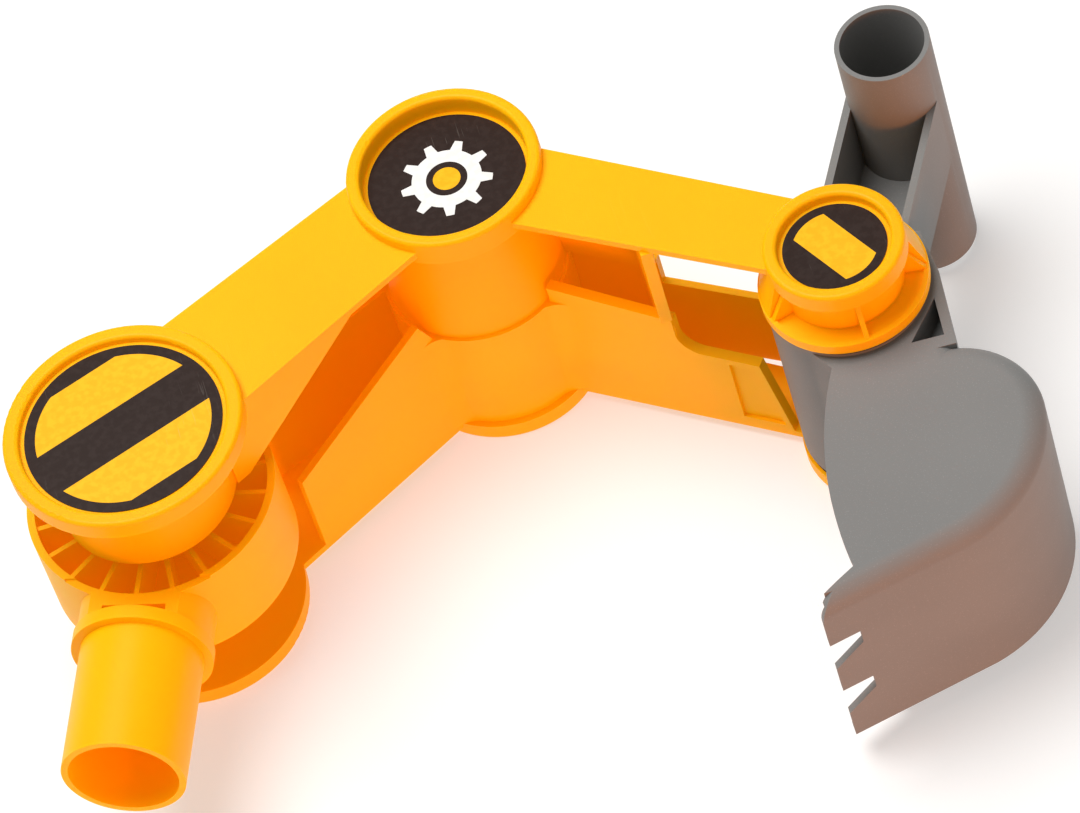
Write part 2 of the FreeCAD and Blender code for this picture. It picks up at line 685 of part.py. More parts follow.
    piece.disc(ROOT, FAR_TOP, "Sizes.boss",
               "Sizes.drum_foot - Sizes.side_gap - Sizes.washer_thick - (" + FAR_TOP + ")")
    for at in (ROOT, TIP):
        piece.bore(at, "Sizes.drum_foot", "Sizes.pin", "Sizes.drum_foot - Sizes.pin_foot")
    for at in screw_places():
        piece.disc(at, FAR_TOP, "Sizes.screw_post", "Sizes.parting - (" + FAR_TOP + ")")
        piece.bore(at, "Sizes.parting", "Sizes.screw", "Sizes.parting")
        piece.bore(at, "Sizes.parting - Sizes.screw_grip", "Sizes.screw_head + Sizes.join_gap", "Sizes.parting")
    return piece


def tube_section(piece, distance, radius):
    """A circle across the socket tube at a distance from the base pivot."""
    drawing = piece.sketch(role="YZ_Plane")
    for axis, text in zip("xyz", ("0", "Sizes.socket_axis", distance)):
        drawing.setExpression("AttachmentOffset.Base." + axis, text)
    piece.circle(drawing, radius)
    return drawing


def box_cut(piece, top, start, finish, half, deep):
    """Cuts a rectangle downwards, from start to finish along the tube and half to each side."""
    drawing = piece.sketch(ROOT, top)
    piece.outline(drawing, [
        (start, "0 - " + "(" + half + ")"),
        (finish, "0 - " + "(" + half + ")"),
        (finish, half),
        (start, half),
    ])
    return piece.pocket(drawing, deep)


def base_socket(doc):
    """Drum with radial ribs, the tube that plugs onto the machine and its collar."""
    piece = Piece(doc, "base_socket")
    drum_tall = "Sizes.drum_rim - Sizes.drum_foot"
    rib_foot = "Sizes.drum_floor + Sizes.plate"
    piece.tube(ROOT, "Sizes.drum_foot", "Sizes.drum", "Sizes.drum - Sizes.wall", drum_tall)
    piece.pad(tube_section(piece, "Sizes.neck_start", "Sizes.collar - Sizes.bite"),
              "Sizes.collar_at - Sizes.neck_start + Sizes.bite")
    piece.bore(ROOT, "Sizes.socket_axis + Sizes.collar", "Sizes.drum - Sizes.wall",
               "Sizes.socket_axis + Sizes.collar - Sizes.drum_floor")
    neck_side = "Sizes.collar + Sizes.bite"
    box_cut(piece, "Sizes.socket_axis + Sizes.collar", "Sizes.neck_start - Sizes.bite", "Sizes.collar_at",
            neck_side, "Sizes.socket_axis + Sizes.collar - Sizes.neck_top")
    box_cut(piece, "Sizes.neck_top", "Sizes.slot_start", "Sizes.slot_finish", "Sizes.slot_half",
            "Sizes.slot_deep")
    piece.disc(ROOT, "Sizes.drum_floor", "Sizes.drum - Sizes.bite", "Sizes.plate")
    piece.disc(ROOT, "Sizes.drum_foot", "Sizes.bearing", drum_tall)
    drawing = piece.sketch(ROOT, "0", role="XZ_Plane")
    piece.outline(drawing, [
        ("Sizes.bearing - Sizes.bite", rib_foot),
        ("Sizes.drum - Sizes.bite", rib_foot),
        ("Sizes.drum - Sizes.bite", "Sizes.drum_rim - Sizes.rib_drop"),
        ("Sizes.bearing - Sizes.bite", "Sizes.drum_rim - Sizes.rib_drop"),
    ])
    rib = piece.pad(drawing, "Sizes.rib_thick")
    rib.Midplane = True
    pattern = piece.body.newObject("PartDesign::PolarPattern", piece.name("ribs"))
    pattern.Originals = [rib]
    pattern.Axis = (piece.datum("Z_Axis"), [""])
    pattern.Angle = 360
    pattern.setExpression("Occurrences", "Sizes.rib_count")
    piece.body.Tip = pattern

    tube_long = "Sizes.socket_end - Sizes.collar_at"
    piece.pad(tube_section(piece, "Sizes.collar_at", "Sizes.socket_outer"), tube_long)
    piece.pad(tube_section(piece, "Sizes.collar_at", "Sizes.collar"), "Sizes.collar_long")
    piece.pocket(tube_section(piece, "Sizes.socket_end", "Sizes.socket_bore"),
                 tube_long + " - Sizes.socket_end_wall")
    piece.bore(ROOT, "Sizes.drum_rim", "Sizes.pin + Sizes.running_gap", drum_tall)
    piece.body.Placement = SOME_TURN
    piece.body.setExpression("Placement.Rotation.Angle", "Sizes.socket_angle")
    return piece


def bucket(doc):
    """Scoop, hub, lever and cross handle, one moulding that turns on the bucket pivot."""
    piece = Piece(doc, "bucket")
    back = "Sizes.bucket_back"
    drop = "Sizes.bucket_drop"
    lip = "Sizes.lip_out"
    throat = "Sizes.throat_out * Sizes.hub"
    tall = "Sizes.bucket_near - Sizes.bucket_foot"
    full = [
        ("0 - " + throat, "0 - " + throat),
        ("Sizes.hub", "0 - " + throat),
        ("Sizes.hub", "0 - Sizes.throat_down * Sizes.hub"),
        ((back + " - Sizes.back_upper_in", "0 - Sizes.back_upper * " + drop),
         (back, "0 - Sizes.back_widest * " + drop)),
        ((back + " - Sizes.heel_in", "0 - Sizes.heel_at * " + drop),
         (back + " - Sizes.sole_in", "0 - Sizes.sole_at * " + drop)),
        ("0 - " + lip, "0 - " + drop),
        ("0 - " + lip, "0 - " + throat),
    ]
    outer = piece.slab(ROOT, "Sizes.bucket_foot", "0", full, tall)
    doc.recompute()
    near_edges = []
    for number, edge in enumerate(outer.Shape.Edges, start=1):
        middle = edge.valueAt(0.5 * (edge.FirstParameter + edge.LastParameter))
        level = abs(middle.z - SIZES["bucket_near"]) < 0.01
        behind = middle.y < -SIZES["throat_out"] * SIZES["hub"] - 1 and middle.x > -SIZES["lip_out"] + 1
        if level and behind:
            near_edges.append("Edge%d" % number)
    rounding = piece.body.newObject("PartDesign::Fillet", piece.name("fillet"))
    rounding.Base = (outer, near_edges)
    rounding.setExpression("Radius", "Sizes.corner_round")
    piece.body.Tip = rounding

    front = piece.sketch(ROOT, "Sizes.bucket_near + Sizes.bite")
    beyond_lip = "0 - " + lip + " - 2 * Sizes.bite"
    piece.outline(front, [
        ("0 - Sizes.cheek_top_out * Sizes.hub", "0 - Sizes.cheek_top_down * Sizes.hub"),
        (("0 - Sizes.cheek_out + Sizes.cheek_hollow", "0 - Sizes.cheek_middle * " + drop),
         ("0 - Sizes.cheek_out", "0 - Sizes.cheek_low * " + drop)),
        (beyond_lip, "0 - " + drop + " + Sizes.bucket_wall"),
        (beyond_lip, "0 - 0.5 * Sizes.hub"),
        ("0 - 0.7 * Sizes.hub", "0 - 0.5 * Sizes.hub"),
    ])
    piece.pocket(front, tall + " + 2 * Sizes.bite")

    wall = "Sizes.bucket_wall"
    inside = piece.sketch(ROOT, "Sizes.bucket_near - Sizes.cheek_thick")
    roof = "0 - Sizes.throat_down * Sizes.hub - " + wall
    piece.outline(inside, [
        ("0 - " + lip, roof),
        ("Sizes.hub - Sizes.bite", roof),
        ((back + " - Sizes.back_upper_in - " + wall,
          "0 - (Sizes.back_upper + Sizes.inner_heel_up) * " + drop),
         (back + " - " + wall, "0 - Sizes.back_widest * " + drop)),
        ((back + " - Sizes.heel_in - Sizes.inner_trim - " + wall,
          "0 - (Sizes.heel_at - Sizes.inner_heel_up) * " + drop),
         (back + " - Sizes.sole_in - Sizes.inner_trim", "0 - Sizes.sole_at * " + drop + " + " + wall)),
        ("0 - " + lip, "0 - " + drop + " + " + wall),
    ])
    piece.pocket(inside, tall + " - Sizes.cheek_thick - " + wall)

    piece.slab(ROOT, "Sizes.bucket_foot", "0", [
        ("0 - 0.9 * Sizes.hub", "0 - 0.3 * Sizes.hub"),
        ("0 - 0.45 * Sizes.hub", "0 - 1.15 * Sizes.hub"),
        ("Sizes.hub", "0 - 1.3 * Sizes.hub"),
        ("Sizes.hub + Sizes.hub_web_out", "0 - 0.2 * Sizes.hub"),
        ("Sizes.hub + Sizes.hub_web_out - Sizes.bite", "0.5 * Sizes.hub"),
        ("0", "0.5 * Sizes.hub"),
    ], tall)
    hub_tall = "Sizes.hub_near_face - Sizes.hub_foot_face"
    piece.disc(ROOT, "Sizes.hub_foot_face", "Sizes.hub", hub_tall)

    lean = slope("Sizes.handle_y", "Sizes.handle_x")
    arm = "sqrt(Sizes.handle_x * Sizes.handle_x + Sizes.handle_y * Sizes.handle_y)"
    half = "Sizes.lever_half"
    lever_tall = "Sizes.lever_near - Sizes.lever_floor"
    piece.slab(ROOT, "Sizes.lever_floor", lean, [
        ("0", "0 - " + half),
        (arm, "0 - " + half),
        (arm, half),
        ("0", half),
    ], lever_tall)
    piece.slab(ROOT, "Sizes.hub_foot_face", lean, [
        ("0", "0 - " + half),
        ("Sizes.lever_block", "0 - " + half),
        ("Sizes.lever_block", half),
        ("0", half),
    ], "Sizes.lever_floor - Sizes.hub_foot_face")
    trough = piece.sketch(ROOT, "Sizes.lever_near", lean)
    piece.outline(trough, [
        ("Sizes.hub", "0 - " + half + " + " + wall),
        (arm, "0 - " + half + " + " + wall),
        (arm, half + " - " + wall),
        ("Sizes.hub", half + " - " + wall),
    ])
    piece.pocket(trough, lever_tall + " - Sizes.plate")
    hollow = piece.sketch(ROOT, "Sizes.lever_floor", lean)
    piece.outline(hollow, [
        ("Sizes.hub", "0 - " + half + " + " + wall),
        ("Sizes.lever_block - " + wall, "0 - " + half + " + " + wall),
        ("Sizes.lever_block - " + wall, half + " - " + wall),
        ("Sizes.hub", half + " - " + wall),
    ])
    piece.pocket(hollow, "Sizes.lever_floor - Sizes.hub_foot_face")
    ring = piece.sketch(ROOT, "Sizes.hub_near_face - " + wall)
    piece.circle(ring, "Sizes.hub - " + wall)
    piece.circle(ring, "Sizes.boss")
    piece.pocket(ring, hub_tall + " - " + wall)
    handle = ("Sizes.handle_x", "Sizes.handle_y")
    handle_tall = "Sizes.handle_near - Sizes.handle_foot"
    piece.disc(handle, "Sizes.handle_foot", "Sizes.handle_outer", handle_tall)
    piece.bore(handle, "Sizes.handle_near", "Sizes.handle_bore", handle_tall)
    piece.bore(ROOT, "Sizes.hub_near_face", "Sizes.pin + Sizes.running_gap", hub_tall)

    pocket = piece.sketch(ROOT, "Sizes.bucket_near + Sizes.bite")
    piece.outline(pocket, [
        ("0.5 * Sizes.hub", "0 - 1.08 * Sizes.hub"),
        ("0.9 * Sizes.hub", "0 - 1.12 * Sizes.hub"),
        ("0.95 * Sizes.hub", "0 - 0.55 * Sizes.hub"),
    ])
    piece.pocket(pocket, "Sizes.corner_pocket")

    under_lip = ("0", "0 - " + drop + " - Sizes.tooth_cut / 2")
    corner = piece.sketch(under_lip, "0", role="XZ_Plane")
    start = "Sizes.bucket_near - Sizes.lip_round"
    middle = ARC_MIDDLE + "Sizes.lip_round"
    piece.outline(corner, [
        ("0 - " + lip + " - Sizes.bite", start),
        ("0 - " + lip, start),
        (("0 - " + lip + " + " + middle, "Sizes.bucket_near - " + middle),
         ("0 - " + lip + " + Sizes.lip_round", "Sizes.bucket_near")),
        ("0 - " + lip + " + Sizes.lip_round", "Sizes.bucket_near + Sizes.bite"),
        ("0 - " + lip + " - Sizes.bite", "Sizes.bucket_near + Sizes.bite"),
    ])
    piece.pocket(corner, "Sizes.tooth_cut")
    gaps = 2
    for gap in range(gaps):
        far_edge = "Sizes.bucket_foot + Sizes.tooth_wide + %d * (Sizes.tooth_wide + Sizes.tooth_gap)" % gap
        near_edge = far_edge + " + Sizes.tooth_gap"
        notch = piece.sketch(under_lip, "0", role="XZ_Plane")
        piece.outline(notch, [
            ("0 - " + lip + " - Sizes.bite", far_edge),
            ("0 - " + lip + " + Sizes.tooth_deep", near_edge + " - Sizes.tooth_root"),
            ("0 - " + lip + " + Sizes.tooth_deep", near_edge),
            ("0 - " + lip + " - Sizes.bite", near_edge),
        ])
        piece.pocket(notch, "Sizes.tooth_cut")
    move_to_tip(piece.body)
    return piece


def move_to_tip(item, height="0"):
    item.setExpression("Placement.Base.x", TIP[0])
    item.setExpression("Placement.Base.y", TIP[1])
    item.setExpression("Placement.Base.z", height)


def round_part(doc, label, at, foot, radius, height):
    """A plain round piece such as a pin or a sticker."""
    item = doc.addObject("Part::Cylinder", label)
    item.Label = label
    item.setExpression("Radius", radius)
    item.setExpression("Height", height)
    for axis, text in zip("xyz", (at[0], at[1], foot)):
        item.setExpression("Placement.Base." + axis, text)
    NODES.append(item)
    return item


def washer(doc, label, at, foot, outer, inner, thick="Sizes.washer_thick"):
    """A round piece with a hole along its axis: a washer, or a hollow pin."""
    piece = Piece(doc, label)
    piece.tube(ROOT, "0", outer, inner, thick)
    for axis, text in zip("xyz", (at[0], at[1], foot)):
        piece.body.setExpression("Placement.Base." + axis, text)
    return piece


def screw(doc, name, at, head_face, up):
    """A pan-head screw with a slot. Its head face is at the height given, its shank runs up or down."""
    long = "(Sizes.screw_long + Sizes.screw_head_thick)"
    thick = "Sizes.screw_head_thick"
    feet = {
        "shank": head_face if up else "%s - %s" % (head_face, long),
        "head": head_face if up else "%s - %s" % (head_face, thick),
        "slot": head_face if up else "%s - %s / 2" % (head_face, thick),
    }
    shank = doc.addObject("Part::Cylinder", name + "_shank")
    shank.setExpression("Radius", "Sizes.screw")
    shank.setExpression("Height", long)
    head = doc.addObject("Part::Cylinder", name + "_head")
    head.setExpression("Radius", "Sizes.screw_head")
    head.setExpression("Height", thick)
    slot = doc.addObject("Part::Box", name + "_slot")
    slot.setExpression("Length", "Sizes.slot_long")
    slot.setExpression("Width", "Sizes.slot_wide")
    slot.setExpression("Height", thick + " / 2")
    for kind, item in (("shank", shank), ("head", head), ("slot", slot)):
        item.setExpression("Placement.Base.x", at[0])
        item.setExpression("Placement.Base.y", at[1])
        item.setExpression("Placement.Base.z", feet[kind])
    slot.setExpression("Placement.Base.x", at[0] + " - Sizes.slot_long / 2")
    slot.setExpression("Placement.Base.y", at[1] + " - Sizes.slot_wide / 2")
    whole = doc.addObject("Part::Fuse", name + "_whole")
    whole.Base = shank
    whole.Tool = head
    cut = doc.addObject("Part::Cut", name)
    cut.Base = whole
    cut.Tool = slot
    return cut


def group(doc, label, solids):
    """Identical fasteners that share one node."""
    item = doc.addObject("Part::Compound", label)
    item.Label = label
    item.Links = solids
    NODES.append(item)
    return item


def small_parts(doc):
    pin_long = PIN_NEAR + " - Sizes.pin_foot"
    washer(doc, "base_pivot_pin", ROOT, "Sizes.pin_foot", "Sizes.pin", "Sizes.screw", pin_long)
    washer(doc, "bucket_pivot_pin", TIP, "Sizes.pin_foot", "Sizes.pin", "Sizes.screw", pin_long)

    base_sizes = ("Sizes.base_washer_outer", "Sizes.base_washer_inner")
    tip_sizes = ("Sizes.washer_outer", "Sizes.washer_inner")
    washer(doc, "base_washer_near", ROOT, "Sizes.drum_rim + Sizes.side_gap", *base_sizes)
    washer(doc, "base_washer_far", ROOT, "Sizes.drum_foot - Sizes.side_gap - Sizes.washer_thick",
           *base_sizes)
    washer(doc, "bucket_washer_near", TIP, "Sizes.flange_face - Sizes.washer_thick", *tip_sizes)
    washer(doc, "bucket_washer_far", TIP, FAR_TOP, *tip_sizes,
           "Sizes.hub_foot_face - Sizes.side_gap - (" + FAR_TOP + ")")

    decals = (
        ("sticker_base", ROOT, "base_recess", "base_recess_deep"),
        ("sticker_elbow", ELBOW, "elbow_recess", "elbow_recess_deep"),
        ("sticker_bucket", TIP, "tip_recess", "tip_recess_deep"),
    )
    for label, at, recess, deep in decals:
        round_part(doc, label, at, "Sizes.arm_width - " + s(deep), s(recess) + " - Sizes.sticker_margin",
                   "Sizes.sticker_thick")

    elbow_face = "Sizes.parting - Sizes.screw_grip - Sizes.screw_head_thick"
    group(doc, "elbow_screws", [
        screw(doc, "elbow_screw_%d" % number, at, elbow_face, True)
        for number, at in enumerate(screw_places(), start=1)
    ])
    group(doc, "pivot_screws", [
        screw(doc, "base_screw", ROOT, "Sizes.arm_width - Sizes.base_recess_deep", False),
        screw(doc, "bucket_screw", TIP, "Sizes.arm_width - Sizes.tip_recess_deep", False),
    ])


def check(doc):
    for item in doc.Objects:
        if "Invalid" in item.State or "Error" in item.State:
            raise RuntimeError("%s is %s" % (item.Name, item.State))
        if item.TypeId == "PartDesign::Pocket":
            if item.Shape.Volume >= item.BaseFeature.Shape.Volume - 0.001:
                raise RuntimeError("%s cuts nothing" % item.Name)
    for node in NODES:
        if node.Shape.isNull() or not node.Shape.isValid():
            raise RuntimeError("%s has no valid shape" % node.Label)
        if node.TypeId == "PartDesign::Body" and len(node.Shape.Solids) != 1:
            raise RuntimeError("%s is not one solid" % node.Label)


def main():
    doc = FreeCAD.newDocument("digging_arm")
    fill_sheet(doc)
    base_socket(doc)
    near_half(doc)
    far_half(doc)
    bucket(doc)
    small_parts(doc)
    doc.recompute()
    check(doc)
    os.makedirs("parts", exist_ok=True)
    for node in NODES:
        node.Shape.exportStep("parts/%s.step" % node.Label)
        print(node.Label, len(node.Shape.Solids), round(node.Shape.Volume))


main()
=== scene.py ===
"""Digging arm of a toy excavator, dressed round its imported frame."""

import math

import bmesh
import bpy
from bpy.props import FloatProperty, FloatVectorProperty, IntProperty, PointerProperty
from mathutils import Matrix, Vector


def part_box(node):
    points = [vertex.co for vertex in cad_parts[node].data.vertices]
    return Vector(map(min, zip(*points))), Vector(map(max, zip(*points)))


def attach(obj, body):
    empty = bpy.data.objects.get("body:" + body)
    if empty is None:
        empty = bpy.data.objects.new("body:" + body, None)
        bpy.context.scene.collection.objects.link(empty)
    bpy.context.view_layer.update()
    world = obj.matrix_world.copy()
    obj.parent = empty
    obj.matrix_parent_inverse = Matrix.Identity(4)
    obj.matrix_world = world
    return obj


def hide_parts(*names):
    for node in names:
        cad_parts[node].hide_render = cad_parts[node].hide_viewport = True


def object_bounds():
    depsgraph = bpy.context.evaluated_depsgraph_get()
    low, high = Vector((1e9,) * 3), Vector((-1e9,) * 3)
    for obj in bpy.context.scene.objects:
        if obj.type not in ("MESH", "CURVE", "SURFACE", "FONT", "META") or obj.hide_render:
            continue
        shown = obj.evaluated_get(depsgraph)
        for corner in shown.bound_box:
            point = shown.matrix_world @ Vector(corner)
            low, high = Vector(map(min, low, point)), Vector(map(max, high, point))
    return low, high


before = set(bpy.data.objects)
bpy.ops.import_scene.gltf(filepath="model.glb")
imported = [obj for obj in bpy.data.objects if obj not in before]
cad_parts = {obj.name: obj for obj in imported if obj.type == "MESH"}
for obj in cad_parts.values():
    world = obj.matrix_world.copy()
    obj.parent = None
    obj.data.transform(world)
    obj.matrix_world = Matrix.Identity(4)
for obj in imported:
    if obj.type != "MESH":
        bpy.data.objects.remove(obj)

bl_info = {
    "name": "Toy digging arm",
    "version": (1, 0, 0),
    "blender": (4, 5, 0),
    "location": "View3D > Sidebar > Digging arm",
    "description": "Moulded plastic looks for a toy excavator's digging arm",
    "category": "Object",
}

CAD_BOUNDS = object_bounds()
MM = 0.001
SHARP = math.radians(30)        # edges that turn more than this are rounded
CREASE = math.radians(32)       # edges that turn more than this stay sharp in the shading
FLAT = math.radians(0.4)        # faces that turn less than this are joined
WELD = 0.002 * MM               # vertices nearer than this are one
FINE_GRAIN = 2300.0             # grain of the mould, in cells to the metre
SOFT_GRAIN = 130.0              # gentle waviness of a moulded face
WEAR_PATCH = 28.0               # patches where the handling scratches gather
FLECK_GRAIN = 2600.0            # specks in the grey resin
SATIN_YELLOW = 0.42             # roughness of the yellow plastic
SATIN_GREY = 0.5                # roughness of the grey plastic
KEY_PLACE = Vector((-0.3, 0.3, 1.5))
KEY_SIZE = 1.1
KEY_POWER = 23.0
FRONT_PLACE = Vector((0.25, -1.5, 0.05))
FRONT_SIZE = 0.3
FRONT_POWER = 15.0
SKY_POWER = 0.32
FLOOR_SPAN = 12                 # half the floor's width, in lengths of the part's diagonal
PRINT_LIFT = 0.03 * MM          # prints lie this far above their sticker


# ---------------------------------------------------------------- settings

class MouldingSettings(bpy.types.PropertyGroup):
    yellow: FloatVectorProperty(
        name="Yellow", description="Colour of the boom and the socket", subtype="COLOR",
        size=3, min=0, max=1, default=(0.97, 0.46, 0.0))
    yellow_deep: FloatVectorProperty(
        name="Deep yellow", description="Where the yellow resin flowed thicker", subtype="COLOR",
        size=3, min=0, max=1, default=(0.96, 0.425, 0.0))
    yellow_pale: FloatVectorProperty(
        name="Pale yellow", description="Yellow where the surface is scuffed", subtype="COLOR",
        size=3, min=0, max=1, default=(1.0, 0.6, 0.08))
    yellow_glow: FloatProperty(
        name="Yellow glow", description="Share of the light that travels inside the yellow walls",
        min=0, max=1, default=0.35)
    # Painted glow: strength of a faint emission that makes every yellow wall glow in its own colour,
    # in place of light through thin walls and bounce light in the shade.
    yellow_painted_glow: FloatProperty(
        name="Yellow soak", description="Light that comes through the thin yellow walls",
        min=0, max=1, default=0.11)
    grey: FloatVectorProperty(
        name="Grey", description="Colour of the bucket and its handle", subtype="COLOR",
        size=3, min=0, max=1, default=(0.235, 0.232, 0.226))
    grey_fleck: FloatVectorProperty(
        name="Grey fleck", description="Paler specks in the grey resin", subtype="COLOR",
        size=3, min=0, max=1, default=(0.33, 0.325, 0.315))
    edge_round: FloatProperty(
        name="Edge rounding", description="Radius on the moulded edges", subtype="DISTANCE",
        unit="LENGTH", min=0, default=0.45 * MM)
    edge_steps: IntProperty(
        name="Edge steps", description="Facets across a rounded edge", min=1, max=6, default=3)
    yellow_grain: FloatProperty(
        name="Yellow grain", description="Height of the fine surface grain on the yellow parts",
        subtype="DISTANCE", unit="LENGTH", min=0, default=0.012 * MM)
    grey_grain: FloatProperty(
        name="Grey grain", description="Height of the fine surface grain on the grey parts",
        subtype="DISTANCE", unit="LENGTH", min=0, default=0.03 * MM)


class StickerSettings(bpy.types.PropertyGroup):
    ink: FloatVectorProperty(
        name="Ink", description="Dark print on the stickers", subtype="COLOR",
        size=3, min=0, max=1, default=(0.024, 0.012, 0.009))
    film: FloatVectorProperty(
        name="Film", description="Yellow of the sticker film", subtype="COLOR",
        size=3, min=0, max=1, default=(0.95, 0.46, 0.006))
    mark: FloatVectorProperty(
        name="Mark", description="Pale print on the elbow sticker", subtype="COLOR",
        size=3, min=0, max=1, default=(0.85, 0.84, 0.82))
    base_border: FloatProperty(
        name="Base border", description="Width of the dark border of the base sticker",
        subtype="DISTANCE", unit="LENGTH", min=0, default=3.4 * MM)
    base_bar: FloatProperty(
        name="Base bar", description="Half width of the dark bar across the base sticker",
        subtype="DISTANCE", unit="LENGTH", min=0, default=8.0 * MM)
    base_chord: FloatProperty(
        name="Base chord", description="Distance of the dark corners from the middle",
        subtype="DISTANCE", unit="LENGTH", min=0, default=24.8 * MM)
    base_turn: FloatProperty(
        name="Base turn", description="Direction of the bar on the base sticker",
        subtype="ANGLE", unit="ROTATION", default=math.radians(17.5))
    tip_border: FloatProperty(
        name="Bucket border", description="Width of the dark border of the bucket sticker",
        subtype="DISTANCE", unit="LENGTH", min=0, default=2.9 * MM)
    tip_bar: FloatProperty(
        name="Bucket bar", description="Half width of the yellow bar on the bucket sticker",
        subtype="DISTANCE", unit="LENGTH", min=0, default=6.3 * MM)
    tip_turn: FloatProperty(
        name="Bucket turn", description="Direction of the bar on the bucket sticker",
        subtype="ANGLE", unit="ROTATION", default=math.radians(-62.7))
    gear_radius: FloatProperty(
        name="Gear radius", description="Radius to the tooth tips of the elbow mark",
        subtype="DISTANCE", unit="LENGTH", min=0, default=14.5 * MM)
    gear_teeth: IntProperty(
        name="Gear teeth", description="Teeth on the elbow mark", min=5, max=16, default=9)


class StageSettings(bpy.types.PropertyGroup):
    floor: FloatVectorProperty(
        name="Floor", description="Colour of the floor", subtype="COLOR",
        size=3, min=0, max=1, default=(0.62, 0.62, 0.615))
    floor_light: FloatProperty(
        name="Floor light", description="Strength of the light table under the floor",
        min=0, max=2, default=0.42)
    elevation: FloatProperty(
        name="Elevation", description="Height of the view above the horizon",
        subtype="ANGLE", unit="ROTATION", default=math.radians(52.47))
    roll: FloatProperty(
        name="Roll", description="Turn of the camera about its own line of sight",
        subtype="ANGLE", unit="ROTATION", default=math.radians(-18.88))
    place: FloatVectorProperty(
        name="Place", description="Where the camera stands", subtype="TRANSLATION",
        unit="LENGTH", size=3, default=(0.1210, -1.3292, 1.7733))
    lens: FloatProperty(
        name="Lens", description="Focal length in millimetres", min=1, max=500, default=236.3)


SETTINGS = {
    "arm_moulding": MouldingSettings,
    "arm_stickers": StickerSettings,
    "arm_stage": StageSettings,
}


# ---------------------------------------------------------------- shaders

class Wire:
    """A node's output that takes part in sums, as a number or a colour does."""

    def __init__(self, shader, socket):
        self.shader = shader
        self.socket = socket

    def join(self, operation, first, second):
        node = self.shader.node("ShaderNodeMath", {"operation": operation}, {0: first, 1: second})
        return node.out(0)

    def __add__(self, other):
        return self.join("ADD", self, other)

    __radd__ = __add__

    def __sub__(self, other):
        return self.join("SUBTRACT", self, other)

    def __rsub__(self, other):
        return self.join("SUBTRACT", other, self)

    def __mul__(self, other):
        return self.join("MULTIPLY", self, other)

    __rmul__ = __mul__


class Built:
    """A node that has been set up, with its outputs by name or number."""

    def __init__(self, shader, node):
        self.shader = shader
        self.node = node

    def out(self, key):
        return Wire(self.shader, self.node.outputs[key])


class Shader:
    """One material's node tree."""

    def __init__(self, name):
        self.material = bpy.data.materials.new(name)
        self.material.use_nodes = True
        self.tree = self.material.node_tree
        self.tree.nodes.clear()

    def node(self, kind, settings=None, inputs=None):
        """Adds a node: its settings first, then the values or wires of its sockets."""
        node = self.tree.nodes.new(kind)
        for key, setting in (settings or {}).items():
            setattr(node, key, setting)
        for key, given in (inputs or {}).items():
            socket = node.inputs[key]
            if isinstance(given, Wire):
                self.tree.links.new(given.socket, socket)
            else:
                socket.default_value = given
        return Built(self, node)

    def noise(self, place, scale, detail=3.0, roughness=0.5):
        made = self.node("ShaderNodeTexNoise", None, {
            "Vector": place, "Scale": scale, "Detail": detail, "Roughness": roughness})
        return made.out(0)

    def stretched(self, place, factors, turn=0.0):
        made = self.node("ShaderNodeMapping", None, {
            "Vector": place, "Scale": factors, "Rotation": (0.0, 0.0, turn)})
        return made.out(0)

    def steps(self, wire, low, high):
        """0 below low, 1 above high, and a smooth change between them."""
        made = self.node(
            "ShaderNodeMapRange", {"interpolation_type": "SMOOTHSTEP"},
            {"Value": wire, "From Min": low, "From Max": high})
        return made.out(0)

    def mix(self, factor, first, second):
        """Mixes two colours."""
        made = self.node("ShaderNodeMix", {"data_type": "RGBA"}, {
            0: factor, 6: colour4(first), 7: colour4(second)})
        return made.out(2)

    def bump(self, height, distance, strength=1.0):
        made = self.node("ShaderNodeBump", None, {
            "Strength": strength, "Distance": distance, "Height": height})
        return made.out(0)

    def place(self):
        return self.node("ShaderNodeTexCoord").out("Object")

    def finish(self, inputs):
        surface = self.node("ShaderNodeBsdfPrincipled", None, inputs)
        self.node("ShaderNodeOutputMaterial", None, {"Surface": surface.out(0)})
        return self.material


def colour4(given):
    return given if isinstance(given, Wire) else (*given, 1.0)


def scuffs(shader, place, scale, turn, amount):
    """Fine handling scratches that all run roughly one way."""
    lines = shader.noise(shader.stretched(place, (scale, scale * 0.05, scale), turn), 1.0, 2.0)
    patches = shader.steps(shader.noise(place, WEAR_PATCH, 2.0), 0.5, 0.66)
    return shader.steps(lines, 1.0 - amount, 1.02 - amount) * patches


